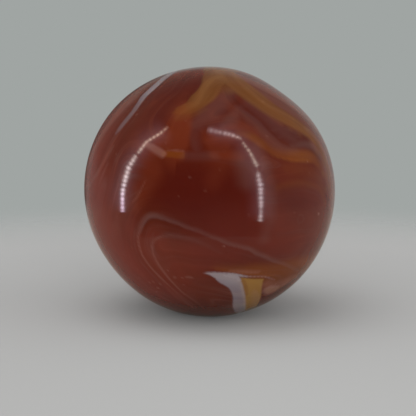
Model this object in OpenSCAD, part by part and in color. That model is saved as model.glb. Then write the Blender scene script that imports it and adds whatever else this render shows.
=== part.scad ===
// Glass marble: a solid ball of swirled glass, one piece.
// Millimetres, +Z up, origin at the centre of the ball.

/* [Ball] */
// Diameter of the ball
ball_d = 25; // [14:0.5:35]

/* [Hidden] */
// Facets around the ball when it is drawn
ball_fn = 128;
glass_colour = "#6b241b";

// The whole marble, one solid of glass with its coloured ribbons melted in.
module marble() {
    color(glass_colour)
        sphere(d = ball_d, $fn = ball_fn);
}

marble();
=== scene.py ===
# %% [markdown]
# # A swirled glass marble
#
# A marble is a solid ball of soda-lime glass. A worker gathers clear red glass on a rod, drops
# pieces of caramel and white glass on it, twists the gather, shears off a lump and rolls it round
# between grooved rollers while it is still soft. So the colours are not painted on: they are
# ribbons of other glass, folded into the ball, some at the skin and some a little below it.
#
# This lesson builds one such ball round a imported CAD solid, which says how large it is and where.

# %% Load the CAD frame
import math

import bmesh
import bpy
import numpy as np
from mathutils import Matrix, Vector, noise


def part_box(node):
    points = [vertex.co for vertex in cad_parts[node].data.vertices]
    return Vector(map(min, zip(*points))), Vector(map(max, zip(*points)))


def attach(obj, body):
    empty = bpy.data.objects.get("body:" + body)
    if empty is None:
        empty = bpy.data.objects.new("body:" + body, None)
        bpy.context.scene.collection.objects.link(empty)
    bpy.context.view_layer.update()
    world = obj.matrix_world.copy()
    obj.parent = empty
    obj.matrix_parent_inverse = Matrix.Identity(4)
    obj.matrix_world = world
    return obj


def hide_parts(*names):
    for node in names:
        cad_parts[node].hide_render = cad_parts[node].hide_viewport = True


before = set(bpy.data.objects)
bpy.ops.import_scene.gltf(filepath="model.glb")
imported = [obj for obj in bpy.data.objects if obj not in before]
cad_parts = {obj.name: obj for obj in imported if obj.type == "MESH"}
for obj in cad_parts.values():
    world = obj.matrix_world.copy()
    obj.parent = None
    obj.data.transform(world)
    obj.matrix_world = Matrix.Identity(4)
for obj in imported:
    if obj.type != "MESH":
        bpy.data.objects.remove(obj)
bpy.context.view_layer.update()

MM = 0.001

ball_low, ball_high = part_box("marble")
ball_r = (ball_high.z - ball_low.z) / 2
ball_r_mm = ball_r / MM
floor_z = ball_low.z
print(f"ball: {2 * ball_r_mm:.1f} mm across, lowest point {floor_z / MM:.1f} mm")


def add_object(name, data):
    """Puts a mesh, a lamp or a camera into the scene under that name."""
    thing = bpy.data.objects.new(name, data)
    bpy.context.scene.collection.objects.link(thing)
    return thing


# %% [markdown]
# ## The camera
#
# A small shiny thing is best seen from close by, with a lens that is long for its distance, so
# that it keeps its shape. The camera stands a hand's breadth away, looks down by a few degrees,
# and aims a little below the middle of the ball, which puts the ball in the upper half of the view.

# %% Camera
CAMERA_AWAY = 7.917 * ball_r
CAMERA_TILT = math.radians(6)
AIM_BELOW = 0.1305 * ball_r
AIM_LEFT = 0.0123 * ball_r

towards_camera = Vector((0, -math.cos(CAMERA_TILT), math.sin(CAMERA_TILT)))
camera_data = bpy.data.cameras.new("camera")
camera_data.lens = 85
camera_data.sensor_width = 36
camera_data.clip_start = 0.005
camera_data.clip_end = 3
camera = add_object("camera", camera_data)
camera.location = towards_camera * CAMERA_AWAY
aim = Vector((-AIM_LEFT, 0, -AIM_BELOW))
camera.rotation_mode = "QUATERNION"
camera.rotation_quaternion = (aim - camera.location).to_track_quat("-Z", "Y")
bpy.context.scene.camera = camera
bpy.context.scene.view_settings.view_transform = "Standard"
print(f"camera: {CAMERA_AWAY / MM:.0f} mm from the ball's centre")

# %% [markdown]
# ## Colours and nodes
#
# Colours are written as sRGB hex, the way a paint chart gives them. Blender's shaders work with
# linear light, so one function turns the one into the other. One more small function adds a node
# to a material, with its settings, its values and its links, which keeps each material short. The
# last two make an empty material, and keep numbers at a mesh's points for a material to read.

# %% Helpers for materials
def colour(hex_code):
    """An sRGB hex code such as '#7a3320' as linear red, green, blue and alpha."""
    channels = [int(hex_code[i : i + 2], 16) / 255 for i in (1, 3, 5)]
    linear = [c / 12.92 if c <= 0.04045 else ((c + 0.055) / 1.055) ** 2.4 for c in channels]
    return (*linear, 1.0)


def add_node(tree, kind, inputs=None, **settings):
    """Adds one node. Inputs are values, or the sockets of other nodes, by socket name or number."""
    node = tree.nodes.new(kind)
    for name, value in settings.items():
        setattr(node, name, value)
    for socket, value in (inputs or {}).items():
        if isinstance(value, bpy.types.NodeSocket):
            tree.links.new(value, node.inputs[socket])
        else:
            node.inputs[socket].default_value = value
    return node


def keep_at_points(mesh, name, values):
    """Keeps one number for each point of a mesh under that name, for a material to read."""
    attribute = mesh.attributes.new(name, "FLOAT", "POINT")
    attribute.data.foreach_set("value", np.array(values, np.float32))


def empty_material(name):
    """A material with only its output node, ready for a node tree of its own."""
    material = bpy.data.materials.new(name)
    material.use_nodes = True
    material.node_tree.nodes.clear()
    return material, material.node_tree


# %% [markdown]
# ## The floor and the world
#
# Glass shows what stands round it, so the stage counts as much as the material. The floor is a
# matt pale sheet with a soft pool of lighter tone round the ball, and the world is a pale grey
# room. The world has two jobs: it lights the ball evenly, at a level where a colour renders about
# as it is written, and it is what the camera and the ball's gloss see. The Light Path node keeps
# the two apart, so the room can look grey while its light stays white.
#
# The camera sees a plain wall. The gloss sees a room with more in it, painted in layers: a dusky
# tone all round, a darker ceiling, a paler band low down, and behind the ball a paler patch on the
# right and a dark one on the left. Each layer fades in softly over a range of directions.

# %% World: what the room looks like
ROOM_WALL = colour("#a0a5a3")
ROOM_CEILING = colour("#5e5b56")
ROOM_DUSK = colour("#77726c")
ROOM_LOW = colour("#8f8b88")
ROOM_BRIGHT = colour("#a09b98")
ROOM_SHADE = colour("#56524f")
LIGHT_LEVEL = 0.83
# Each layer: its colour, then where it fades in: along which axis, from where, to where.
GLOSS_LAYERS = (
    (ROOM_DUSK, ("Y", 1.0, 0.86)),
    (ROOM_CEILING, ("Z", 0.66, 0.94)),
    (ROOM_LOW, ("Z", 0.20, 0.02)),
    (ROOM_BRIGHT, ("Y", 0.70, 0.86), ("X", -0.1, 0.2)),
    (ROOM_SHADE, ("Y", 0.82, 0.95), ("X", -0.05, -0.2), ("Z", -0.18, -0.11), ("Z", 0.40, 0.20)),
)

world = bpy.data.worlds.new("room")
bpy.context.scene.world = world
world.use_nodes = True
world.node_tree.nodes.clear()
tree = world.node_tree
direction = add_node(tree, "ShaderNodeTexCoord")
towards = add_node(tree, "ShaderNodeSeparateXYZ", {0: direction.outputs["Generated"]})
tone = ROOM_WALL
for tint, *fades in GLOSS_LAYERS:
    amount = 1.0
    for axis, start, end in fades:
        fade = add_node(
            tree,
            "ShaderNodeMapRange",
            {"Value": towards.outputs[axis], "From Min": start, "From Max": end, "To Max": amount},
            interpolation_type="SMOOTHSTEP",
        )
        amount = fade.outputs[0]
    layer = add_node(tree, "ShaderNodeMix", {"Factor": amount, 6: tone, 7: tint}, data_type="RGBA")
    tone = layer.outputs[2]
print(f"room: {len(GLOSS_LAYERS)} layers in the gloss")

# %% World: what is seen and what gives light
path = add_node(tree, "ShaderNodeLightPath")
room_colour = add_node(
    tree,
    "ShaderNodeMix",
    {"Factor": path.outputs["Is Glossy Ray"], 6: ROOM_WALL, 7: tone},
    data_type="RGBA",
)
seen = path.outputs["Is Camera Ray"]
for ray in ("Is Glossy Ray", "Is Transmission Ray"):
    either = add_node(tree, "ShaderNodeMath", {0: seen, 1: path.outputs[ray]}, operation="MAXIMUM")
    seen = either.outputs[0]
light = add_node(
    tree, "ShaderNodeBackground", {"Color": colour("#ffffff"), "Strength": LIGHT_LEVEL}
)
room = add_node(tree, "ShaderNodeBackground", {"Color": room_colour.outputs[2]})
both = add_node(tree, "ShaderNodeMixShader", {0: seen, 1: light.outputs[0], 2: room.outputs[0]})
add_node(tree, "ShaderNodeOutputWorld", {"Surface": both.outputs[0]})
print(f"world: light level {LIGHT_LEVEL}")

# %% Floor
FLOOR_R = 1.0
FLOOR_SOLID = 0.045
FLOOR_GONE = 0.100
FLOOR_SEEN = colour("#b4b4b3")
FLOOR_BOUNCE = colour("#f0f0ee")
FLOOR_IN_GLOSS = colour("#a69f97")

mesh = bpy.data.meshes.new("floor")
shape = bmesh.new()
bmesh.ops.create_circle(shape, cap_ends=True, segments=128, radius=FLOOR_R)
shape.to_mesh(mesh)
shape.free()
floor = add_object("floor", mesh)
floor.location.z = floor_z

material, tree = empty_material("matt_paper")
place = add_node(tree, "ShaderNodeTexCoord")
away = add_node(tree, "ShaderNodeVectorMath", {0: place.outputs["Object"]}, operation="LENGTH")
fade = add_node(
    tree,
    "ShaderNodeMapRange",
    {"Value": away.outputs["Value"], "From Min": FLOOR_SOLID, "From Max": FLOOR_GONE},
    interpolation_type="SMOOTHSTEP",
)
path = add_node(tree, "ShaderNodeLightPath")
tone = FLOOR_SEEN
for ray, tint in (("Is Diffuse Ray", FLOOR_BOUNCE), ("Is Glossy Ray", FLOOR_IN_GLOSS)):
    layer = add_node(
        tree, "ShaderNodeMix", {"Factor": path.outputs[ray], 6: tone, 7: tint}, data_type="RGBA"
    )
    tone = layer.outputs[2]
paper = add_node(tree, "ShaderNodeBsdfDiffuse", {"Color": tone, "Roughness": 1.0})
nothing = add_node(tree, "ShaderNodeBsdfTransparent")
faded = add_node(
    tree, "ShaderNodeMixShader", {0: fade.outputs[0], 1: paper.outputs[0], 2: nothing.outputs[0]}
)
add_node(tree, "ShaderNodeOutputMaterial", {"Surface": faded.outputs[0]})
mesh.materials.append(material)
print(f"floor: solid to {FLOOR_SOLID / MM:.0f} mm from the ball, gone at {FLOOR_GONE / MM:.0f} mm")

# %% [markdown]
# ## Lamps and the dark card
#
# A gloss ball mirrors the whole room in one small picture. To place a highlight, think backwards:
# pick the spot on the ball where the highlight belongs, send a line from the camera to that spot,
# bounce it, and put the lamp on the bounced line. The function below does just that. Its two
# numbers say where the spot shows on the ball's face, from -1 to 1, to the right and upwards.
#
# Two bent bands of light stand for the lamp strips round the open front of a light tent. Each is
# a thin mesh whose points keep how brightly they glow: a bright core with a faint beat, like a
# row of small lamps, inside a soft halo. A black card between them stands for the dark room that
# the tent opens to. Bands and card show only in reflections. The light itself comes from the
# world, a softbox overhead, and a low fill lamp that lifts the underside a little.

# %% Where a lamp shows in the ball
view_right = Vector((1, 0, 0))
view_up = towards_camera.cross(view_right)


def spot_on_ball(right, up):
    """The point of the ball's skin that the camera sees at that place on its face."""
    rim = math.sqrt(camera.location.length_squared - ball_r**2)
    face_r = ball_r * camera.location.length / rim
    target = (view_right * right + view_up * up) * face_r
    line = (target - camera.location).normalized()
    along = -line.dot(camera.location)
    nearest = camera.location.length_squared - along**2
    return camera.location + line * (along - math.sqrt(max(ball_r**2 - nearest, 0)))


def mirrored_place(right, up, distance):
    """The point that the ball mirrors at that place on its face, at a distance from its skin."""
    spot = spot_on_ball(right, up)
    line = (spot - camera.location).normalized()
    bounced = line.reflect(spot.normalized())
    return spot + bounced * distance


print(f"a lamp mirrored at the centre stands at {mirrored_place(0, 0, 0.02)[:]}")

# %% Where the light strips run
# Each point of a strip: where it shows on the ball's face, its width against the usual, how bright
# it is, and its tint. The dips are the gaps between one length of strip and the next.
left_strip = [
    (-0.325, 0.52, 0.7, 2, "#ffdcc4"),
    (-0.345, 0.505, 0.9, 5, "#ffdcc4"),
    (-0.39, 0.465, 1.0, 7, "#ffdcc4"),
    (-0.5, 0.395, 1.0, 6, "#ffe4d0"),
    (-0.56, 0.315, 1.2, 8, "#ffeadc"),
    (-0.57, 0.305, 1.0, 1, "#ffeadc"),
    (-0.58, 0.295, 1.0, 1, "#ffeadc"),
    (-0.585, 0.285, 1.5, 7, "#fff0e8"),
    (-0.64, 0.2, 1.7, 10, "#fff0ee"),
    (-0.67, 0.105, 1.7, 11, "#fdeeee"),
    (-0.69, 0.015, 1.5, 12, "#fcecf6"),
    (-0.695, -0.04, 1.4, 13, "#fbe6fb"),
    (-0.695, -0.09, 1.4, 12, "#fae2fb"),
    (-0.695, -0.17, 1.6, 11, "#fae0fb"),
]
right_strip = [
    (-0.02, 0.5, 2.2, 1.8, "#ffeaf0"),
    (0.025, 0.49, 2.0, 3, "#ffeaf0"),
    (0.07, 0.48, 1.7, 4, "#ffeaec"),
    (0.17, 0.46, 1.5, 6, "#ffeae8"),
    (0.245, 0.43, 1.0, 5, "#ffe8da"),
    (0.255, 0.42, 0.8, 1, "#ffe8da"),
    (0.265, 0.4, 0.8, 1, "#ffe8da"),
    (0.27, 0.39, 1.0, 4, "#ffecd6"),
    (0.32, 0.32, 1.1, 5, "#ffecd6"),
    (0.375, 0.21, 1.4, 6, "#fff0e0"),
    (0.375, 0.2, 1.0, 1, "#fff0ea"),
    (0.38, 0.165, 1.0, 0.6, "#fff0ea"),
    (0.385, 0.15, 1.5, 6, "#fff0ee"),
    (0.395, 0.09, 1.9, 8, "#feeff2"),
    (0.405, 0.055, 1.9, 8, "#feeff4"),
    (0.41, -0.085, 1.7, 7, "#feeff4"),
    (0.41, -0.18, 1.4, 5, "#feeff2"),
    (0.405, -0.24, 1.8, 8, "#feeff0"),
]


def evenly_along(strip, pitch):
    """Rows of place, width, brightness and linear tint at an even pitch along a strip."""
    points = np.array([(*point[:4], *colour(point[4])[:3]) for point in strip])
    lengths = np.linalg.norm(np.diff(points[:, :2], axis=0), axis=1)
    reached = np.concatenate([[0], np.cumsum(lengths)])
    wanted = np.arange(0, reached[-1], pitch)
    return np.stack([np.interp(wanted, reached, column) for column in points.T], axis=1)


# %% Light strips with their glow
STRIP_AWAY = 17 * MM
# The other widths and lengths are in the lists' own measure, with the face's radius as 1.
STRIP_PITCH = 0.005
CORE_WIDTH = 0.0095
HALO_WIDTH = 0.068
HALO_LEFT = (0.82, colour("#ffdcf0")[:3])
HALO_RIGHT = (0.70, colour("#ece4ff")[:3])
BEAD_PITCH = 0.036
BEAD_SWING = 0.3
FLICKER = 0.6
FLICKER_PITCH = 0.02
CORE_END = 0.01
HALO_END = 0.08
BEND_ROWS = 17
ONE_SIDE = [0.008, 0.015, 0.025, 0.04, 0.06, 0.09, 0.14]
SIDES = [-side for side in reversed(ONE_SIDE)] + [0, *ONE_SIDE]

mesh = bpy.data.meshes.new("light_strips")
shape = bmesh.new()
glows = []
for strip, (halo_strength, halo_tint) in ((left_strip, HALO_LEFT), (right_strip, HALO_RIGHT)):
    line = evenly_along(strip, STRIP_PITCH)
    run = np.gradient(line[:, :2], axis=0)
    run = np.pad(run, ((BEND_ROWS // 2, BEND_ROWS // 2), (0, 0)), "edge")
    evened = np.ones(BEND_ROWS) / BEND_ROWS
    run = np.stack([np.convolve(part, evened, "valid") for part in run.T], axis=1)
    run /= np.linalg.norm(run, axis=1, keepdims=True)
    last = None
    for number, ((right, up, width, bright, *tint), (x, y)) in enumerate(zip(line, run)):
        travelled = number * STRIP_PITCH
        bead = 1 + BEAD_SWING * math.cos(math.tau * travelled / BEAD_PITCH)
        bead += FLICKER * noise.noise(Vector((right, up, 0)) / FLICKER_PITCH)
        end = min(number, len(line) - 1 - number) * STRIP_PITCH
        row = []
        for side in SIDES:
            inside = side not in (SIDES[0], SIDES[-1])
            core = bright * bead * math.exp(-((side / (CORE_WIDTH * width)) ** 2))
            core *= min(1, end / CORE_END) * inside
            halo = halo_strength * math.exp(-((side / HALO_WIDTH) ** 2))
            halo *= min(1, end / HALO_END) * inside
            glows.append((*(core * c + halo * h for c, h in zip(tint, halo_tint)), 1))
            row.append(shape.verts.new(mirrored_place(right - y * side, up + x * side, STRIP_AWAY)))
        if last:
            for a, b, c, d in zip(last, last[1:], row[1:], row):
                shape.faces.new((a, b, c, d))
        last = row
shape.to_mesh(mesh)
shape.free()
attribute = mesh.attributes.new("glow", "FLOAT_COLOR", "POINT")
attribute.data.foreach_set("color", np.array(glows, np.float32).ravel())
strip_lights = add_object("light_strips", mesh)

material, tree = empty_material("lit_tent_edge")
glow = add_node(tree, "ShaderNodeAttribute", attribute_name="glow")
lit = add_node(tree, "ShaderNodeEmission", {"Color": glow.outputs["Color"]})
nothing = add_node(tree, "ShaderNodeBsdfTransparent")
both = add_node(tree, "ShaderNodeAddShader", {0: lit.outputs[0], 1: nothing.outputs[0]})
add_node(tree, "ShaderNodeOutputMaterial", {"Surface": both.outputs[0]})
mesh.materials.append(material)
print(f"strips: {len(mesh.polygons)} faces")

# %% Dark card
CARD_AWAY = 18 * MM
CARD_CUTS = 32
CARD_FADE = 0.12
card_left = [
    (-0.24, 0.66), (-0.51, 0.42), (-0.62, 0.27), (-0.69, 0.05), (-0.63, -0.30), (-0.50, -0.74)
]
card_right = [(0.06, 0.62), (0.30, 0.46), (0.40, 0.31), (0.49, 0.08), (0.55, -0.30), (0.50, -0.74)]


def along_edge(points, share):
    """The place a share of the way down an edge that is given by evenly numbered points."""
    numbers = np.linspace(0, 1, len(points))
    return np.array([np.interp(share, numbers, axis) for axis in zip(*points)])


mesh = bpy.data.meshes.new("dark_card")
shape = bmesh.new()
rows = []
cover = []
for down in np.linspace(0, 1, CARD_CUTS):
    left, right = along_edge(card_left, down), along_edge(card_right, down)
    row = []
    for across in np.linspace(0, 1, CARD_CUTS):
        row.append(shape.verts.new(mirrored_place(*(left + (right - left) * across), CARD_AWAY)))
        inside = min(across, 1 - across, down, (1 - down) / 3)
        cover.append(min(1, inside / CARD_FADE))
    rows.append(row)
for upper, lower in zip(rows, rows[1:]):
    for a, b, c, d in zip(upper, upper[1:], lower[1:], lower):
        shape.faces.new((a, b, c, d))
shape.to_mesh(mesh)
shape.free()
keep_at_points(mesh, "cover", cover)
card = add_object("dark_card", mesh)

material, tree = empty_material("black_felt")
felt = add_node(tree, "ShaderNodeBsdfDiffuse", {"Color": colour("#0c0a0a")})
nothing = add_node(tree, "ShaderNodeBsdfTransparent")
amount = add_node(tree, "ShaderNodeAttribute", attribute_name="cover")
faded = add_node(
    tree,
    "ShaderNodeMixShader",
    {0: amount.outputs["Fac"], 1: nothing.outputs[0], 2: felt.outputs[0]},
)
add_node(tree, "ShaderNodeOutputMaterial", {"Surface": faded.outputs[0]})
mesh.materials.append(material)
print(f"card: {len(mesh.polygons)} faces")

# %% Strips and card show in reflections only
for thing in (strip_lights, card):
    thing.visible_camera = False
    thing.visible_diffuse = False
    thing.visible_transmission = False
    thing.visible_shadow = False
    print(f"{thing.name}: in reflections only")

# %% Softbox overhead and low fill
# Each lamp: its name, size, power and place, in metres and watts.
LAMPS = (
    ("softbox", 0.30, 0.35, (-0.08, -0.06, 0.40)),
    ("low_fill", 0.05, 0.035, (0.02, -0.12, floor_z + 0.008)),
)
for name, size, power, at in LAMPS:
    lamp_data = bpy.data.lights.new(name, "AREA")
    lamp_data.shape = "SQUARE"
    lamp_data.size = size
    lamp_data.energy = power
    lamp = add_object(name, lamp_data)
    lamp.location = at
    lamp.rotation_mode = "QUATERNION"
    lamp.rotation_quaternion = (-lamp.location).to_track_quat("-Z", "Y")
    lamp.visible_camera = False
    lamp.visible_glossy = False
    print(f"{name}: {power} W")

# %% [markdown]
# ## The ball's own shape
#
# Rollers never make a perfect sphere. This ball is a little flat on one shoulder, a little full on
# the other, and its skin has the faint waviness of glass that was shaped by fire and not ground.
#
# A UV sphere crowds its points at the poles. A cube whose faces are cut into a fine grid and then
# blown up to a ball has even quads all over, so that is what the code makes. The grid is fine
# because the ribbons are kept at its points: 128 squares to a side put those 0.15 mm apart.

# %% Blow a cube up to a ball
GRID = 128

mesh = bpy.data.meshes.new("glass_marble")
shape = bmesh.new()
bmesh.ops.create_cube(shape, size=2)
bmesh.ops.subdivide_edges(shape, edges=shape.edges[:], cuts=GRID - 1, use_grid_fill=True)
shape.to_mesh(mesh)
shape.free()
corners = np.empty(len(mesh.vertices) * 3)
mesh.vertices.foreach_get("co", corners)
even = np.tan(corners.reshape(-1, 3) * math.pi / 4)
normals = even / np.linalg.norm(even, axis=1, keepdims=True)
print(f"ball mesh: {len(mesh.vertices)} points, {len(mesh.polygons)} quads")

# %% Out of round
def on_ball(east, north):
    """The unit vector to a place: degrees to the right of the front, degrees above the waist."""
    east, north = math.radians(east), math.radians(north)
    flat = math.cos(north)
    return Vector((math.sin(east) * flat, -math.cos(east) * flat, math.sin(north)))


# Each lobe: place on the ball, how far it stands out or in (mm), how wide it is (degrees).
LOBES = [
    (on_ball(88, 54), -0.24, 15),
    (on_ball(-88, 38), 0.16, 32),
    (on_ball(-85, -38), -0.20, 26),
    (on_ball(90, 12), 0.06, 20),
]
RIPPLE_HEIGHT = 0.012
RIPPLE_LENGTH = 3.5

rise = np.zeros(len(normals))
for centre, height, width in LOBES:
    angle = np.degrees(np.arccos(np.clip(normals @ np.array(centre), -1, 1)))
    rise += height * np.exp(-((angle / width) ** 2))
ripple = [noise.noise(Vector(n) * ball_r_mm / RIPPLE_LENGTH) for n in normals]
rise += RIPPLE_HEIGHT * np.array(ripple) * (1 - normals[:, 2] ** 8)
places = normals * (ball_r_mm + rise)[:, None] * MM
mesh.vertices.foreach_set("co", places.ravel())
mesh.polygons.foreach_set("use_smooth", np.ones(len(mesh.polygons), bool))
mesh.update()
print(f"out of round: {rise.min():.2f} to {rise.max():.2f} mm")

# %% [markdown]
# ## The ribbons
#
# A ribbon is a strip of coloured glass that the twist has drawn out. On the ball it is a smooth
# line with a width that swells and thins, at some depth under the skin. The deeper it lies, the
# more red glass covers it, so it looks fainter and its edges look softer.
#
# One could paint an image and wrap it round the ball, but that shows the same size of dot all
# over and stretches at the poles. Here each ribbon is a curve on the ball, and each point of the
# mesh works out how far it is from that curve. Each kind of glass keeps its own share at each
# point, from 0 to 1, and the material mixes the colours later. Seeds, which are tiny bubbles and
# crumbs in the glass, come last, as round spots.
# Some kinds also carry painted light and shade: the ember ribbons are a painted glow, the brick
# zones on the left a painted lit side, and the clear middle of the face a painted dark depth.

# %% A smooth path on the ball
PATH_STEP = 0.2
# The whole swirl is turned by so many degrees, which brings its folds to face the camera.
SWIRL_TURN = -0.7


def smooth_path(points):
    """Unit vectors, widths and strengths along a smooth curve through points of (east, north,
    width in mm), each of which may give a strength as well."""
    knots = [(*on_ball(point[0] + SWIRL_TURN, point[1]), *point[2:], 1)[:5] for point in points]
    knots = np.array(knots)
    knots = np.concatenate([[2 * knots[0] - knots[1]], knots, [2 * knots[-1] - knots[-2]]])
    pieces = []
    for a, b, c, d in zip(knots, knots[1:], knots[2:], knots[3:]):
        count = max(2, math.ceil(np.linalg.norm(c[:3] - b[:3]) * ball_r_mm / PATH_STEP))
        t = np.linspace(0, 1, count, endpoint=False)[:, None]
        curve = b + (c - a) * t / 2
        curve += (a - 2.5 * b + 2 * c - d / 2) * t**2
        curve += (1.5 * b - 1.5 * c + d / 2 - a / 2) * t**3
        pieces.append(curve)
    curve = np.concatenate(pieces + [knots[-2:-1]])
    unit = curve[:, :3] / np.linalg.norm(curve[:, :3], axis=1, keepdims=True)
    return unit, np.maximum(curve[:, 3], 0), np.clip(curve[:, 4], 0, 1)


# %% How far each point is from a curve
WOBBLE_MM = 0.08
WOBBLE_LENGTH = 2.2

wobble = np.array([noise.noise_vector(Vector(n) * ball_r_mm / WOBBLE_LENGTH) for n in normals])
wobbled = normals + wobble * WOBBLE_MM / ball_r_mm
wobbled /= np.linalg.norm(wobbled, axis=1, keepdims=True)


def beside(unit):
    """For each point of the ball: the nearest step of a curve, the distance to it in mm, and
    the distance to the left of the way the curve runs."""
    cosines = wobbled @ unit.T
    nearest = cosines.argmax(axis=1)
    away = np.arccos(np.clip(cosines[np.arange(len(nearest)), nearest], -1, 1)) * ball_r_mm
    leftwards = np.cross(unit, np.gradient(unit, axis=0))
    leftwards /= np.linalg.norm(leftwards, axis=1, keepdims=True)
    to_left = np.einsum("ij,ij->i", wobbled, leftwards[nearest]) * ball_r_mm
    return nearest, away, to_left


# %% How much of a ribbon each point holds
# In mm: the depth at which little more than a third still shows, and how soft an edge is.
RED_HIDES = 1.6
EDGE_AT_SKIN = 0.16
EDGE_PER_DEPTH = 0.45
KINDS = (
    "clear", "brick_and_painted_light", "maroon", "ember_and_painted_glow", "amber", "lavender", "honey", "straw", "caramel", "white"
)
share = {kind: np.zeros(len(normals)) for kind in KINDS}
laid = []


def ribbon(kind, depth, *points, amount=1, fade=(0, 0), cut_start=False, cut_end=False):
    """Lays one ribbon of that kind of glass, at a depth under the skin in mm, through the points.
    An amount or a strength below 1 is a thin film. It fades out over so many mm to the left and
    to the right of its run. A cut end is square, and any other end is round."""
    unit, width, strength = smooth_path(points)
    nearest, away, to_left = beside(unit)
    edge = EDGE_AT_SKIN + EDGE_PER_DEPTH * depth
    soft = edge / 2 + np.where(to_left > 0, *fade)
    beyond = away - width[nearest] / 2
    cover = np.clip((soft - beyond) / (soft + edge / 2), 0, 1)
    for cut, tip, inner in ((cut_start, unit[0], unit[1]), (cut_end, unit[-1], unit[-2])):
        if cut:
            outward = (tip - inner) / np.linalg.norm(tip - inner)
            past_tip = (wobbled - tip) @ outward * ball_r_mm
            cover *= np.clip(0.5 - past_tip / edge, 0, 1)
    cover = cover * cover * (3 - 2 * cover)
    cover *= amount * strength[nearest] * math.exp(-depth / RED_HIDES)
    share[kind] = np.maximum(share[kind], cover)
    laid.append(kind)


def speck(kind, east, north, size, amount):
    """A small round spot of that kind of glass, its size in mm."""
    spot = np.array(on_ball(east + SWIRL_TURN, north))
    away = np.arccos(np.clip(normals @ spot, -1, 1)) * ball_r_mm
    cover = amount * np.clip(1.25 - away / size * 2, 0, 1)
    share[kind] = np.maximum(share[kind], cover)


# %% Soft zones of clear, brighter and darker red, partly painted light and shade
# The clear zone at the middle of the face is partly clearer glass and partly painted shade: the
# dark depth seen straight into the ball.
ribbon("clear", 0, (-16, 12, 1), (-4, 4, 3), (8, -2, 3), (14, -8, 1), fade=(4, 4))
ribbon("clear", 0, (-10, -30, 2), (10, -24, 2), (35, -14, 2), fade=(3, 3), amount=0.5)
ribbon("clear", 0, (38, 1, 3), (50, -1, 5), (60, -9, 4), (66, -20, 3), fade=(3, 3), amount=0.5)
ribbon("brick_and_painted_light", 0.8, (-34, 71, 1), (-14, 74, 2), (-2, 75, 1), amount=0.5, fade=(1.5, 1))
# Painted light: these brick zones brighten the left side and lower left, as if lit through the
# glass from below.
ribbon("brick_and_painted_light", 0.8, (-24, -15, 1), (-20, -24, 1.6), (-14, -34, 1), amount=0.6, fade=(1.5, 1.5))
ribbon("brick_and_painted_light", 0.8, (-42, -16, 3), (-34, -27, 4), (-28, -40, 3), amount=0.7, fade=(3, 3))
ribbon(
    "brick_and_painted_light", 0.4, (-100, 34, 2), (-80, 32, 2), (-74, 8, 5), (-66, -16, 6), (-54, -36, 5),
    fade=(5, 5),
)
ribbon(
    "brick_and_painted_light", 0.6, (34, 11, 1.2), (42, 12, 1.6), (52, 12, 1.6), (62, 6, 1.2), (68, -6, 0.6),
    amount=0.22, fade=(1.2, 0.1),
)
# Painted glow in the lower left: orange-red where light comes up through the glass.
ribbon("ember_and_painted_glow", 1.6, (-24, -22, 2), (-16, -30, 3), (-4, -40, 2), amount=0.6, fade=(2, 2))
ribbon("brick_and_painted_light", 1.1, (55, -6, 2), (62, -20, 2), (80, -30, 2), amount=0.5, fade=(4, 4))
ribbon("brick_and_painted_light", 1.2, (-10, -24, 1), (20, -10, 2), (45, -20, 1), amount=0.6, fade=(3, 3))
ribbon(
    "maroon", 0.3, (15, 50, 0.4, 0.3), (21, 45, 1.0, 0.8), (28, 38, 1.3), (35, 32, 1.3),
    (44, 28, 1.2), (54, 24, 0.8), (62, 18, 0.4),
    fade=(0.4, 0.4),
)
ribbon("maroon", 1.0, (-35, 52, 1), (-25, 56, 1), (-15, 60, 1), fade=(1.5, 1.5))
ribbon("maroon", 1.0, (-26, 44, 0.8), (-29.5, 38, 1.2), (-30, 32, 0.9), amount=0.7, fade=(1.5, 1.5))
# Painted shade as well: this wide darker zone deepens the middle of the face.
ribbon("maroon", 1.2, (-5, 5, 4), (8, -2, 4), fade=(3, 3))
ribbon("maroon", 0.9, (33, 1, 0.6), (42, 0, 1.1), (52, -3, 0.6), amount=0.6, fade=(0.5, 0.7))
ribbon("maroon", 1.0, (2, 50, 0.6), (6, 44.5, 1.0), (10, 39, 0.6), amount=0.7, fade=(0.6, 0.6))
ribbon("maroon", 0.6, (12, 42, 0.3), (18, 38.5, 0.6), (23, 34.5, 0.4), amount=0.45, fade=(0.3, 0))
ribbon("maroon", 1.6, (13, 20, 0.6), (16, 15, 1.2), (17, 9, 0.6), fade=(0.8, 0.8))
ribbon(
    "maroon", 0.5, (-5, 38, 0.7), (-6, 34, 0.9), (-6, 29, 1.0), (-5.5, 24, 0.9),
    amount=0.55, fade=(1.2, 0),
)
print(f"{len(laid)} ribbons laid")

# %% Painted glow: orange-red where light comes through the glass, mostly from above
ribbon(
    "ember_and_painted_glow", 0.5, (-13, 41, 0.9), (-12.5, 37, 1.0), (-12, 34, 1.1), (-13, 30, 1.4),
    (-14, 26, 1.7, 0.86), (-14, 22, 1.4, 0.7),
    amount=1.02, fade=(0.3, 1.6),
)
ribbon("ember_and_painted_glow", 0.8, (-18, 31, 0.8), (-21, 27, 1.2), (-20, 23, 1.0), amount=0.8, fade=(0.8, 0.8))
ribbon(
    "ember_and_painted_glow", 1.0, (-2, 30, 0.4), (0, 28, 0.9), (4, 24, 1.0), (8, 25, 0.8),
    amount=0.65, fade=(0.5, 0),
)
ribbon(
    "ember_and_painted_glow", 0.8, (9, 33, 0.4), (14, 34, 0.7), (19, 33, 0.6), (23, 30, 0.3),
    amount=0.8, fade=(0.2, 0),
)
ribbon("ember_and_painted_glow", 0.8, (3, 21, 0.6), (8, 21, 0.7), (14, 20, 0.5), amount=0.9, fade=(0.3, 0.2))
ribbon("ember_and_painted_glow", 1.7, (7, 20, 0.8), (4, 15, 0.9), (2, 10, 0.5), amount=0.7, fade=(0.7, 0.7))
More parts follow.
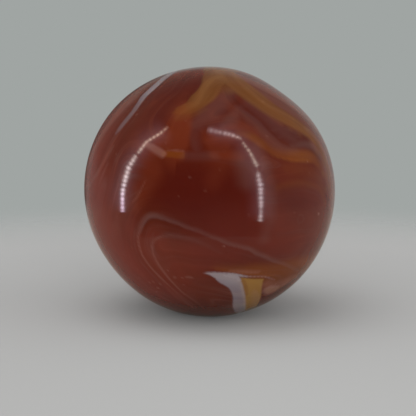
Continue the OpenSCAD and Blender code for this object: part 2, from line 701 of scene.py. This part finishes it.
ribbon(
    "ember_and_painted_glow", 1.3, (-25, 19, 1.2), (-24.5, 15, 1.5), (-26, 11, 1.4), (-28, 7, 1.0), (-31, 0, 0.5),
    fade=(0.9, 0.9),
)
print(f"{len(laid)} ribbons laid")

# %% Amber glass: translucent orange-brown, in threads that run side by side
ribbon(
    "amber", 0.2, (-19.4, 21.2, 0.55), (-14, 21, 0.62), (-10.4, 21, 0.6), amount=0.6, cut_end=True
)
ribbon(
    "amber", 0.5, (15, 30.5, 0.2, 0.5), (20, 28.8, 0.5, 0.75), (24, 26.3, 0.6, 0.8),
    (28, 23.8, 0.55, 0.6), (31, 22, 0.55, 0.6), (36, 20.2, 0.7, 0.75), (40, 19.5, 0.9, 1),
    (46, 19.2, 1.0, 1), (52, 18.7, 0.95, 0.95), (55.4, 17.6, 0.8, 0.75), (59, 14, 0.6, 0.38),
    (63, 9, 0.5, 0.26), (67, 4, 0.4, 0.2), (70, -3, 0.4, 0.2), (78, -14, 0.6, 0.5),
    (90, -21, 0.9, 0.8), (105, -25, 1.0, 0.9), (122, -23, 0.8, 0.7), (138, -14, 0.5, 0.5),
    (150, -2, 0.2, 0.3),
    amount=0.9, fade=(0.35, 0.1),
)
ribbon(
    "amber", 0.1, (30, 20.5, 0.1), (36, 19, 0.2), (42, 18, 0.3), (48, 18, 0.34), (53, 17, 0.2),
    amount=0.9,
)
ribbon(
    "amber", 0.1, (37, 21.2, 0.1), (43, 20.4, 0.28), (48, 20.2, 0.3), (53, 19, 0.2),
    (58, 15, 0.15),
    amount=0.8,
)
ribbon(
    "amber", 0.8, (36, 14.3, 0.4), (42, 14, 0.8), (48, 13, 0.8), (56, 10, 0.7), (60, 4, 0.5),
    amount=0.26, fade=(0.5, 0.5),
)
ribbon(
    "amber", 0.7, (30, 7, 0.1), (38, 8, 0.3), (47, 7.5, 0.35), (56, 5, 0.3), (62, -2, 0.15),
    amount=0.4, fade=(0.3, 0.2),
)
ribbon(
    "amber", 0.3, (26, 57, 0.3), (30, 50.8, 0.5), (34.5, 45.4, 0.6), (39, 41, 0.65),
    (45, 37.2, 0.6), (52, 33.2, 0.5), (58, 29.6, 0.4), (63, 25, 0.3),
    amount=0.7, fade=(0, 0.3),
)
ribbon(
    "amber", 0.6, (5, -28.4, 0.1, 0.5), (12, -29.4, 0.25, 0.8), (18, -30.2, 0.7, 1),
    (22, -30.7, 0.95, 1), (28, -31.6, 1.1, 0.95), (34, -31.9, 1.2, 0.85), (41, -31.6, 1.4, 0.8),
    (49, -31.5, 1.5, 0.75), (62, -32.5, 1.4, 0.75), (84, -34, 0.9, 0.8), (104, -40, 0.7, 0.8),
    (128, -48, 0.5, 0.6), (150, -60, 0.2, 0.4),
    amount=0.9, fade=(0.9, 0.1),
)
ribbon(
    "amber", 0.1, (8, -28.8, 0.08), (14, -29.8, 0.16), (22, -31, 0.24), (30, -31.6, 0.2),
    (38, -31, 0.08),
    amount=0.8,
)
ribbon(
    "amber", 0.4, (27, -35.6, 0.4), (35, -37, 1.1), (45, -36.6, 1.3), (56, -36.6, 0.8),
    amount=0.6, fade=(0.5, 1.2),
)
ribbon(
    "amber", 0.2, (-8, 45.3, 0.8), (-12, 43.6, 1.2), (-16.5, 42.5, 0.8), amount=0.5, fade=(0.4, 0)
)
ribbon(
    "amber", 0.1, (18, -32.3, 0.1), (24, -32.9, 0.3), (30, -33.5, 0.34), (38, -33.2, 0.1),
    amount=0.9,
)
print(f"{len(laid)} ribbons laid")

# %% Lavender haze: white glass drawn so thin that it only clouds the red
ribbon(
    "lavender", 1.0, (17, 42.5, 0.3), (15, 40, 0.5), (11, 37, 0.6), (8, 35, 0.3),
    amount=0.42, fade=(0.6, 0.4),
)
ribbon(
    "lavender", 0.5, (17.5, 43.5, 0.2), (20, 41, 0.5), (23, 38, 0.7), (26, 35, 0.7),
    (28, 31.5, 0.7), (31, 28, 0.7), (35, 24.5, 0.6), (40, 23, 0.4), (44, 23, 0.2),
    amount=0.27, fade=(0.1, 0.6),
)
ribbon(
    "lavender", 0.1, (17, 43, 0.1), (20.5, 39.5, 0.14), (24.5, 35, 0.16), (28.5, 30.5, 0.14),
    (32.5, 26, 0.08),
    amount=0.12,
)
ribbon(
    "lavender", 1.0, (14, 54, 0.6), (8, 48, 1.0), (3, 43, 1.2), (-2, 39, 1.1), (-6, 35, 0.7),
    amount=0.4, fade=(0.8, 0.3),
)
ribbon(
    "lavender", 0.8, (-6, 38, 0.5), (-7, 33, 0.6), (-7, 28, 0.6), (-6, 24, 0.5),
    amount=0.22, fade=(0.6, 0),
)
ribbon("lavender", 0.6, (-10, 21, 0.6), (-3, 21, 0.7), (3, 21, 0.6), amount=0.17, fade=(0.1, 0.3))
ribbon(
    "lavender", 1.0, (22.5, 24, 0.3), (25, 14, 0.5), (26, 4, 0.6), (26, -6, 0.6), (25, -14, 0.3),
    amount=0.3, fade=(0.6, 0.6),
)
ribbon(
    "lavender", 1.0, (26, 46, 0.6), (32, 40, 1.0), (38, 33, 1.0), (44, 27, 0.6),
    amount=0.25, fade=(0.6, 0.6),
)
ribbon("lavender", 0.2, (-9, 22.6, 0.08), (0, 22.4, 0.12), (8, 22.6, 0.08), amount=0.15)
ribbon("lavender", 2.0, (15, 19, 0.8), (16, 15, 1.1), (16, 10, 0.7), amount=0.8, fade=(0.6, 0.6))
ribbon(
    "lavender", 0.2, (34, 31.5, 0.1), (41, 32, 0.26), (48, 29.5, 0.1), amount=0.18, fade=(0.5, 0.2)
)
ribbon(
    "lavender", 0.2, (36, 28, 0.08), (42, 29, 0.16), (49, 27.5, 0.08), amount=0.16, fade=(0.3, 0)
)
ribbon(
    "lavender", 0.2, (42, 24, 0.15), (50, 24.5, 0.3), (57, 23, 0.4), (62, 20, 0.4), (65, 15, 0.3),
    (67, 8, 0.1),
    amount=0.26, fade=(0.4, 0.3),
)
ribbon(
    "lavender", 0.15, (95, -52, 0.05, 0.4), (80, -43, 0.1, 0.5), (64, -36.6, 0.1, 0.5),
    (51, -32.8, 0.12, 0.6), (43, -29.2, 0.18, 0.7), (37, -27.1, 0.2, 0.8), (31, -25.2, 0.22, 0.9),
    (27, -23.3, 0.22, 1), (22, -21.2, 0.22, 1), (18, -18.8, 0.2, 1), (9, -16, 0.2, 0.9),
    (5, -14.2, 0.2, 0.8), (-1, -12, 0.2, 0.7), (-4, -10.6, 0.2, 0.7), (-8, -9.2, 0.2, 0.8),
    (-12, -7.4, 0.22, 0.8), (-17, -6, 0.24, 0.9), (-23, -4.6, 0.3, 1), (-26, -5.4, 0.34, 1),
    (-28, -7.6, 0.34, 1), (-29.8, -10.5, 0.3, 1), (-31.2, -13.5, 0.1, 0.8),
    amount=0.34, fade=(0, 0.3),
)
ribbon(
    "lavender", 0.5, (6, -20, 0.1, 0.4), (0, -17, 0.14, 0.6), (-6, -14.4, 0.2, 0.9),
    (-11, -13, 0.26, 1), (-15, -12.4, 0.28, 1), (-19, -12.6, 0.26, 0.9), (-22, -14, 0.2, 0.6),
    (-24.5, -16.5, 0.1, 0.2),
    amount=0.22, fade=(0.1, 0.2),
)
print(f"{len(laid)} ribbons laid")

# %% Honey glass: the square golden patch beside the white
ribbon(
    "honey", 0.05, (23.3, -34.0, 2.45), (23.3, -34.8, 2.4), (24.2, -38, 2.15), (26.6, -43, 1.9),
    (29.6, -48, 1.75), (34, -54, 1.6), (44, -62, 1.2), (66, -69, 0.6), (88, -72, 0.2),
    amount=0.97, cut_start=True,
)
print(f"{len(laid)} ribbons laid")

# %% Straw glass: pale tan, drawn into threads and thin films
ribbon(
    "straw", 0.1, (-28.8, -9, 0.08, 0.4), (-30.6, -12, 0.14, 0.8), (-31.6, -14.5, 0.16),
    (-31.9, -18, 0.17), (-31.4, -22.5, 0.17), (-29.6, -26.5, 0.17, 0.9), (-27.4, -30.3, 0.18, 0.8),
    (-25.4, -33.3, 0.2, 0.9), (-23.4, -36.3, 0.2, 0.6), (-20.6, -40, 0.18, 0.35),
    (-15, -48, 0.16, 0.2), (-2, -60, 0.12, 0.2), (30, -76, 0.06, 0.2),
    amount=0.32,
)
ribbon(
    "straw", 0.1, (-12, -12.6, 0.06, 0.3), (-17, -12.2, 0.1, 0.5), (-21.5, -13.6, 0.12, 0.7),
    (-24.4, -16.4, 0.15, 0.9), (-25.2, -19.5, 0.16), (-25, -22.5, 0.17, 0.8),
    (-24, -26, 0.18, 0.8), (-22.2, -30, 0.2, 0.9), (-20, -34.5, 0.2, 1), (-17.6, -38.5, 0.2, 0.8),
    (-15, -42.5, 0.2, 0.8), (-12, -46, 0.18, 0.7), (-5, -54, 0.12, 0.5), (12, -66, 0.06, 0.3),
    amount=0.3,
)
ribbon(
    "straw", 0.2, (-11, -32.8, 0.05), (-9.5, -32.6, 0.14), (-8, -32.8, 0.05),
    amount=0.35, fade=(0.1, 0),
)
ribbon("straw", 0.1, (-27, 10, 0.08), (-28, 8, 0.14), (-30, 4, 0.17), (-33, 1, 0.1), amount=0.25)
ribbon(
    "straw", 0.1, (-118, -26, 0.1), (-100, -22, 0.3), (-86, -14, 0.4), (-74, -3, 0.3),
    (-64, 7, 0.25), (-59, 11, 0.4), (-55, 16, 0.4), (-53, 20, 0.3), (-51, 24, 0.1),
    amount=0.15, fade=(0, 0.2),
)
ribbon("straw", 0.2, (-56, 6, 0.1), (-53, 12, 0.25), (-51, 16, 0.1), amount=0.12, fade=(0, 0.2))
ribbon(
    "straw", 0.3, (-30.3, 25.4, 0.35), (-27.4, 24.5, 0.52), (-24, 23, 0.6), (-21, 21.6, 0.62),
    (-19, 20.3, 0.55),
    amount=0.48, fade=(0, 0.1), cut_end=True,
)
ribbon(
    "straw", 0.1, (-18, 22.8, 0.1), (-14, 22.8, 0.16), (-10.6, 22.7, 0.14), amount=0.3, cut_end=True
)
ribbon(
    "straw", 0.4, (-66, 62, 0.6), (-64, 53, 1.2), (-64, 48, 1.5), (-64, 43, 1.2), (-66, 34, 0.6),
    (-72, 20, 0.4), (-84, 4, 0.3), (-100, -6, 0.1),
    amount=0.3, fade=(0.8, 0.3),
)
ribbon(
    "straw", 0.2, (-78, 2, 0.1), (-72, 4, 0.2), (-68, 5, 0.3), (-65, 5, 0.1),
    amount=0.2, fade=(0.3, 0),
)
ribbon(
    "straw", 0.7, (28, 62, 0.4), (38, 54, 0.8), (48, 47, 1.0), (58, 39, 1.0), (66, 30, 0.9),
    (71, 20, 0.8), (74, 8, 0.6), (78, -6, 0.3),
    amount=0.28, fade=(0.9, 0.6),
)
ribbon(
    "straw", 0.6, (60, 24, 0.4), (65, 17, 1.0), (67.5, 9, 1.1), (69.5, 1, 0.9), (72, -8, 0.6),
    (77, -18, 0.2),
    amount=0.3, fade=(0.7, 0.8),
)
ribbon(
    "straw", 0.5, (24, 76, 0.4), (34, 67, 0.8), (45, 58, 0.9), (56, 49, 0.8), (66, 41, 0.6),
    (76, 31, 0.3), (86, 18, 0.1),
    amount=0.42, fade=(0.7, 0.4),
)
ribbon(
    "straw", 0.2, (48, 64, 0.1), (58, 54, 0.3), (68, 45, 0.4), (78, 35, 0.3), (86, 24, 0.2),
    (93, 8, 0.1),
    amount=0.3, fade=(0.3, 0.4),
)
ribbon(
    "straw", 0.2, (60, 32, 0.3), (66, 27, 0.6), (70, 19, 0.6), (72.5, 10, 0.5), (74, 1, 0.4),
    (78, -12, 0.25), (86, -24, 0.1),
    amount=0.4, fade=(0.3, 0.5),
)
ribbon(
    "straw", 0.1, (64, 24, 0.1), (67, 17, 0.24), (69, 9, 0.3), (70.5, 0, 0.26), (73, -10, 0.2),
    (79, -22, 0.1),
    amount=0.34, fade=(0.2, 0.2),
)
ribbon(
    "straw", 0.1, (80, 22, 0.1), (82, 12, 0.24), (83, 2, 0.3), (86, -9, 0.2), (93, -19, 0.1),
    amount=0.3, fade=(0.4, 0.2),
)
ribbon(
    "straw", 0.5, (34, -38.5, 0.3), (39, -41, 0.7), (44, -41, 0.8), (51, -39.5, 0.5),
    (60, -38, 0.2),
    amount=0.3, fade=(0.7, 0.7),
)
ribbon("straw", 0.5, (38, -42.4, 0.5), (41, -43.4, 0.8), (44, -43.2, 0.5), fade=(0.5, 0.6))
ribbon("straw", 0.5, (49, -41.5, 0.3), (52, -40.5, 0.3), amount=0.5, fade=(0.4, 0.4))
ribbon(
    "caramel", 0.4, (38, -42.6, 0.3), (43, -43.8, 0.7), (49, -42.6, 0.3), amount=0.5, fade=(0, 0.3)
)
ribbon(
    "straw", 0.3, (11, -29.2, 0.1), (17, -29.7, 0.3), (25, -30.6, 0.2), amount=0.3, fade=(0.2, 0)
)
ribbon(
    "straw", 0.05, (29, -43, 0.3), (31, -46, 0.6), (35, -50, 0.7), (40, -55, 0.5),
    amount=0.2, fade=(0, 0.4),
)
print(f"{len(laid)} ribbons laid")

# %% Caramel glass: opaque, at the skin
ribbon(
    "caramel", 0.1, (146, 20, 0.1, 0.3), (150, 34, 0.4, 0.5), (158, 46, 0.8, 0.7), (170, 58, 1.2),
    (-178, 71, 1.7), (140, 84, 2.3), (45, 83, 2.8), (18, 75, 3.0), (12, 69.6, 2.8),
    (6.3, 64.7, 2.4), (2.5, 58.8, 1.95), (-1.6, 52.7, 1.9), (-5.7, 48.6, 1.82),
    (-9.8, 44.4, 1.5, 0.72), (-14, 42.9, 1.2, 0.36), (-16.2, 42.6, 0.95, 0.2),
    fade=(0.3, 0),
)
ribbon(
    "caramel", 0.35, (18, 74, 2.0), (21.5, 67.8, 2.2), (24.3, 61, 2.2), (28.7, 54.9, 2.05),
    (32.7, 49.8, 1.97), (36.5, 45.4, 1.85), (40.6, 41.6, 1.65, 0.93), (45.8, 38.5, 1.48, 0.9),
    (51.2, 35.3, 1.35, 0.86), (57.2, 31.8, 1.15, 0.75), (61, 28.8, 0.95, 0.65),
    (64.5, 24.5, 0.8, 0.55), (67.5, 18, 0.65, 0.5), (70, 11, 0.5, 0.45), (73, 2, 0.4, 0.4),
    (78, -9, 0.25, 0.35), (87, -19, 0.1, 0.3),
    amount=1.12, fade=(0.3, 0.4),
)
ribbon(
    "caramel", 0.5, (4, 59.5, 0.5), (9, 59, 1.2), (14, 58, 1.5), (20, 57.5, 1.1), (25, 56, 0.5),
    amount=0.75, fade=(0.3, 0.9),
)
ribbon(
    "caramel", 0.3, (-16, 38.2, 0.3), (-12, 39.4, 0.6), (-7, 41, 0.6), (-3, 42.8, 0.3),
    amount=0.36, fade=(0.4, 0.3),
)
ribbon(
    "caramel", 0.1, (17.5, -33.5, 0.2), (19, -36, 0.4), (21.5, -40, 0.4), (24, -45, 0.3),
    amount=0.6, fade=(0, 0.3),
)
print(f"{len(laid)} ribbons laid")

# %% White glass: opaque, at the skin
ribbon(
    "white", 0.05, (-152, 22, 0.06, 0.2), (-148, 36, 0.16, 0.4), (-144, 50, 0.3, 0.55),
    (-135, 63, 0.45, 0.7), (-113, 72, 0.6, 0.75), (-88, 74.5, 0.7, 0.75), (-68, 72, 0.9, 0.78),
    (-55, 66, 0.95, 0.76), (-50.2, 60, 0.92, 0.78), (-49.2, 55, 0.9, 0.8), (-49.2, 50, 0.84, 0.68),
    (-48, 45.5, 0.68, 0.46), (-47.6, 41.6, 0.62, 0.36), (-48.4, 38, 0.62, 0.32),
    (-49.8, 35, 0.62, 0.3), (-51.3, 31.8, 0.54, 0.28), (-52.4, 29.6, 0.3, 0.2),
)
ribbon(
    "white", 0.08, (-1.5, -29.9, 0.1, 0.7), (1, -30.2, 0.3, 0.9), (3.4, -30.9, 0.64, 0.9),
    (5.4, -31.7, 0.94, 0.92), (8.1, -33.5, 1.2, 0.95), (12, -35.4, 1.42, 0.96),
    (14.9, -38.3, 1.28, 0.88), (17.4, -42.2, 1.18, 0.82), (19.4, -46, 1.2, 0.82),
    (21.2, -50, 1.2, 0.82), (26, -57, 1.2, 0.85), (38, -66, 0.9, 0.9), (64, -73, 0.5),
    (95, -76, 0.15),
    amount=0.94,
)
ribbon("white", 0.08, (8, -31.3, 0.4), (11.5, -32, 0.6), (14.2, -32.8, 0.5), (15.8, -34.6, 0.4))
ribbon(
    "white", 0.1, (6.8, -30.2, 0.2), (11.8, -30.8, 0.3), (15.8, -31.6, 0.28),
    (18.8, -32.2, 0.2, 0.8), (22.8, -32.6, 0.14, 0.5), (27.8, -33.2, 0.14, 0.4),
    (31.8, -34.3, 0.16, 0.35), (37.8, -36.6, 0.1, 0.2),
)
print(f"{len(laid)} ribbons laid")

# %% Thin films that run on round the back
ribbon(
    "amber", 0.5, (158, 40, 0.2), (150, 24, 0.4), (147, 8, 0.5), (152, -6, 0.5), (164, -18, 0.4),
    (-178, -30, 0.2),
    amount=0.6, fade=(0.4, 0.2),
)
ribbon(
    "lavender", 0.2, (-150, 34, 0.1), (-156, 20, 0.2), (-166, 6, 0.24), (-172, -8, 0.2),
    (-166, -24, 0.1),
    amount=0.4, fade=(0, 0.4),
)
ribbon(
    "amber", 0.4, (-134, 46, 0.2), (-122, 30, 0.4), (-108, 18, 0.5), (-94, 10, 0.4), (-84, 0, 0.2),
    amount=0.5, fade=(0.5, 0.2),
)
ribbon(
    "lavender", 0.3, (-130, 52, 0.1), (-114, 40, 0.3), (-98, 30, 0.3), (-86, 24, 0.2),
    (-76, 14, 0.1),
    amount=0.35, fade=(0.3, 0.3),
)
ribbon(
    "straw", 0.1, (-176, -34, 0.05), (-156, -38, 0.14), (-134, -36, 0.2), (-112, -28, 0.16),
    (-96, -18, 0.08),
    amount=0.3, fade=(0.1, 0),
)
print(f"{len(laid)} ribbons laid")

# %% Seeds and specks
# Each spot: east, north, size in mm, amount.
SEED_COUNT = 90
for spot in (
    (59, 29, 0.9, 0.4), (63, 25, 0.8, 0.45), (60.5, 20.5, 0.9, 0.35), (64, 15.5, 1.0, 0.4),
    (61.5, 11, 0.8, 0.3), (66, 10, 0.9, 0.4), (67.5, 5, 0.7, 0.35), (63, 4, 0.8, 0.25),
    (69.5, 0, 0.6, 0.3), (46, 33, 1.0, 0.2), (51, 29.5, 0.9, 0.25), (41, 35.5, 0.8, 0.2),
):
    speck("caramel", *spot)
for spot in (
    (56, -6, 0.28, 0.55), (36, 47, 0.4, 0.6), (-1, 6.5, 0.24, 0.16), (-12, 4, 0.2, 0.14),
    (73.5, 3, 0.35, 0.7), (75, 6, 0.2, 0.5), (50, 17, 0.2, 0.4), (-13, -33, 0.24, 0.2),
    (-17, -33, 0.4, 0.16), (-27, -38, 0.3, 0.22), (-30, -41, 0.34, 0.26), (-34, -38, 0.3, 0.2),
    (-13, -37, 0.2, 0.2), (-33, -44, 0.3, 0.25), (-31, -37, 0.3, 0.2), (37.5, -43.5, 0.5, 0.5),
    (41, -39.5, 0.4, 0.4), (39, -4, 0.2, 0.16), (-40, -36, 0.22, 0.2), (61, -12, 0.2, 0.25),
):
    speck("straw", *spot)
angles = np.linspace(0, math.tau, 9)
ring = [(43 + 1.9 * math.cos(angle), -7 + 1.8 * math.sin(angle), 0.1) for angle in angles]
ribbon("lavender", 0.1, *ring, amount=0.16)
random = np.random.default_rng(7)
for number in range(SEED_COUNT):
    north = math.degrees(math.asin(random.uniform(-1, 1)))
    east = random.uniform(-180, 180)
    size = random.uniform(0.16, 0.28)
    speck("straw", east, north, size, random.uniform(0.08, 0.3))
print(f"ribbons: {len(laid)}, random specks: {SEED_COUNT}")

# %% [markdown]
# ## The streaks
#
# Between the ribbons the red is full of finer threads, drawn out by the same twist. To follow it,
# each point of the ball keeps its distance across the folds, blended from some lines that run with
# them. A noise that is fine across the folds and long along them then draws the threads.

# %% The swirl that all the streaks follow
GUIDES = [
    [(40, 83), (22, 61), (35, 44), (54, 35), (68, 25), (75, 8), (84, -20)],
    [(45, 83), (140, 84), (-178, 71), (170, 58), (150, 34), (147, 8), (164, -18)],
    [(5, 61), (-5, 46), (-12, 42.5), (-17, 38), (-19, 29)],
    [
        (0, 30), (14, 32), (23, 26), (36, 20), (52, 18), (61, 12), (67, 2), (78, -14), (105, -25),
        (150, -2),
    ],
    [(-32, 23), (-15, 21), (5, 21), (18, 20)],
    [
        (95, -52), (51, -33), (27, -23), (9, -15), (-8, -8), (-23, -4), (-30, -10), (-32, -22),
        (-24, -36), (-10, -56), (30, -76),
    ],
    [(-10, -28), (7, -28), (25, -31), (43, -32), (68, -32), (104, -40), (150, -60)],
    [(-88, 74.5), (-56, 65.5), (-50, 55), (-48, 42), (-54, 28), (-64, 7), (-86, -14), (-118, -26)],
    [(-88, 74.5), (-113, 72), (-135, 63), (-144, 50), (-150, 34), (-166, 6), (-166, -24)],
    [(28, 6), (45, 7), (58, 2), (72, -14)],
    [(-120, -50), (-66, -40), (-48, -50), (-10, -66), (30, -66)],
]
weights = np.zeros(len(normals))
swirl = np.zeros(len(normals))
for guide in GUIDES:
    unit, _, _ = smooth_path([(*point, 1) for point in guide])
    nearest, away, to_left = beside(unit)
    weight = 1 / (away**2 + 1) ** 2
    weights += weight
    swirl += weight * to_left
swirl /= weights
print(f"swirl: {swirl.min():.1f} to {swirl.max():.1f} mm across the folds")

# %% Keep the shares at the mesh's points
for kind in KINDS:
    keep_at_points(mesh, kind, share[kind])
    print(f"{kind}: {100 * (share[kind] > 0.3).mean():.1f}% of the ball")
keep_at_points(mesh, "swirl", swirl)

# %% [markdown]
# ## The glass
#
# Soda-lime glass has a refractive index of 1.51 to 1.52 and throws back 4% of what meets it head
# on. Fire polish leaves it almost perfectly smooth, so its roughness is a few hundredths. This
# glass is so full of colour that a ball of it lets hardly any light through: most is scattered
# inside and comes out red, tan or white. So one Principled shader does for every kind of glass,
# with a glossy skin and a little scattering below it. What changes over the ball is its colour.

# %% Material: streaks that follow the swirl
# The length is in metres, as the place is, and the width is in mm, as the swirl is.
STREAK_LENGTH = 9.0 * MM
STREAK_WIDTH = 1.05

marble = add_object("swirled_marble", mesh)
material, tree = empty_material("soda_lime_glass_swirled")
mesh.materials.append(material)
place = add_node(tree, "ShaderNodeTexCoord")
across = add_node(tree, "ShaderNodeAttribute", attribute_name="swirl")
along = add_node(
    tree,
    "ShaderNodeVectorMath",
    {0: place.outputs["Object"], "Scale": 1 / STREAK_LENGTH},
    operation="SCALE",
)
squeezed = add_node(
    tree, "ShaderNodeMath", {0: across.outputs["Fac"], 1: 1 / STREAK_WIDTH}, operation="MULTIPLY"
)
squeezed = add_node(tree, "ShaderNodeCombineXYZ", {0: squeezed.outputs[0]})
drawn = add_node(
    tree, "ShaderNodeVectorMath", {0: along.outputs[0], 1: squeezed.outputs[0]}, operation="ADD"
)
print(f"{marble.name}: made of {material.name}")

# %% Material: five patterns of streaks
# Each one: its name, its shift, its fineness, the share of the noise where it starts and is full,
# and the most that it shows.
STREAKS = (
    ("body", (0, 0, 0), 1.0, 0.3, 0.7, 1.0),
    ("ember_and_painted_glow", (7, 0, 3), 1.3, 0.5, 0.72, 0.45),
    ("lavender", (0, 9, 5), 1.3, 0.5, 0.72, 0.22),
    ("maroon", (4, 4, 9), 1.3, 0.5, 0.72, 0.5),
    ("ribbon", (3, 8, 1), 0.8, 0.3, 0.7, 1.0),
)
streaks = {}
for name, shift, fineness, start, full, most in STREAKS:
    moved = add_node(tree, "ShaderNodeVectorMath", {0: drawn.outputs[0], 1: shift}, operation="ADD")
    pattern = add_node(
        tree,
        "ShaderNodeTexNoise",
        {
            "Vector": moved.outputs[0],
            "Scale": fineness,
            "Detail": 4,
            "Roughness": 0.55,
            "Distortion": 0.3,
        },
    )
    rise = add_node(
        tree,
        "ShaderNodeMapRange",
        {"Value": pattern.outputs[0], "From Min": start, "From Max": full, "To Max": most},
        interpolation_type="SMOOTHSTEP",
    )
    streaks[name] = rise.outputs[0]
print(f"streaks: {', '.join(streaks)}")

# %% Material: thin films of ember, lavender and maroon in the red
BODY_DEEP = colour("#4f1a0d")
BODY_RED = colour("#5a1f10")
MAROON = colour("#4c1610")
# The ember tint colours the orange threads in the red and the painted glow of the ember ribbons.
EMBER_AND_PAINTED_GLOW = colour("#6f2f1b")
LAVENDER = colour("#6e544f")

base = add_node(
    tree, "ShaderNodeMix", {"Factor": streaks["body"], 6: BODY_DEEP, 7: BODY_RED}, data_type="RGBA"
)
clear = add_node(tree, "ShaderNodeAttribute", attribute_name="clear")
streaky = add_node(tree, "ShaderNodeMath", {0: 1.0, 1: clear.outputs["Fac"]}, operation="SUBTRACT")
for name, tint in (("ember_and_painted_glow", EMBER_AND_PAINTED_GLOW), ("lavender", LAVENDER), ("maroon", MAROON)):
    amount = add_node(
        tree, "ShaderNodeMath", {0: streaks[name], 1: streaky.outputs[0]}, operation="MULTIPLY"
    )
    base = add_node(
        tree,
        "ShaderNodeMix",
        {"Factor": amount.outputs[0], 6: base.outputs[2], 7: tint},
        data_type="RGBA",
    )
print(f"red with its films: {len(tree.nodes)} nodes")

# %% Material: striations inside the ribbons
CARAMEL = (colour("#683d18"), colour("#784d28"))
WHITE = (colour("#847f89"), colour("#93888a"))
THINNEST = 0.8

striated = {}
for kind, (low, high) in (("caramel", CARAMEL), ("white", WHITE)):
    tint = add_node(
        tree, "ShaderNodeMix", {"Factor": streaks["ribbon"], 6: low, 7: high}, data_type="RGBA"
    )
    striated[kind] = tint.outputs[2]
patchy = add_node(tree, "ShaderNodeMapRange", {"Value": streaks["ribbon"], "To Min": THINNEST})
print(f"striations: thin a ribbon to {THINNEST} of its share at most")

# %% Material: lay the kinds over each other
for kind, tint in (
    # Clear: deep red without threads, which at the middle of the face is partly painted shade.
    ("clear", colour("#4d150b")),
    # Brick: brighter red, which on the left side and lower left is painted light.
    ("brick_and_painted_light", colour("#74281b")),
    ("maroon", MAROON),
    # Ember: orange threads, and painted glow where light comes through the glass.
    ("ember_and_painted_glow", EMBER_AND_PAINTED_GLOW),
    ("amber", colour("#7a4012")),
    ("lavender", LAVENDER),
    ("honey", colour("#8f6832")),
    ("straw", colour("#966c60")),
    ("caramel", striated["caramel"]),
    ("white", striated["white"]),
):
    held = add_node(tree, "ShaderNodeAttribute", attribute_name=kind)
    amount = add_node(
        tree, "ShaderNodeMath", {0: held.outputs["Fac"], 1: patchy.outputs[0]}, operation="MULTIPLY"
    )
    base = add_node(
        tree,
        "ShaderNodeMix",
        {"Factor": amount.outputs[0], 6: base.outputs[2], 7: tint},
        data_type="RGBA",
    )
print(f"colour of the glass: {len(tree.nodes)} nodes")

# %% Material: the glass
GLASS_IOR = 1.51
GLASS_ROUGHNESS = 0.06
SCATTERED = 0.3
SCATTER_DEPTH = 0.6 * MM

glass = add_node(
    tree,
    "ShaderNodeBsdfPrincipled",
    {
        "Base Color": base.outputs[2],
        "Roughness": GLASS_ROUGHNESS,
        "IOR": GLASS_IOR,
        "Subsurface Weight": SCATTERED,
        "Subsurface Radius": (1.0, 0.3, 0.2),
        "Subsurface Scale": SCATTER_DEPTH,
    },
)
add_node(tree, "ShaderNodeOutputMaterial", {"Surface": glass.outputs[0]})
print(f"glass: roughness {GLASS_ROUGHNESS}, index {GLASS_IOR}")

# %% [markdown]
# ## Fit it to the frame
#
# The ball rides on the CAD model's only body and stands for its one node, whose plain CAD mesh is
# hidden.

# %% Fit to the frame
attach(marble, "root")
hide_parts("marble")
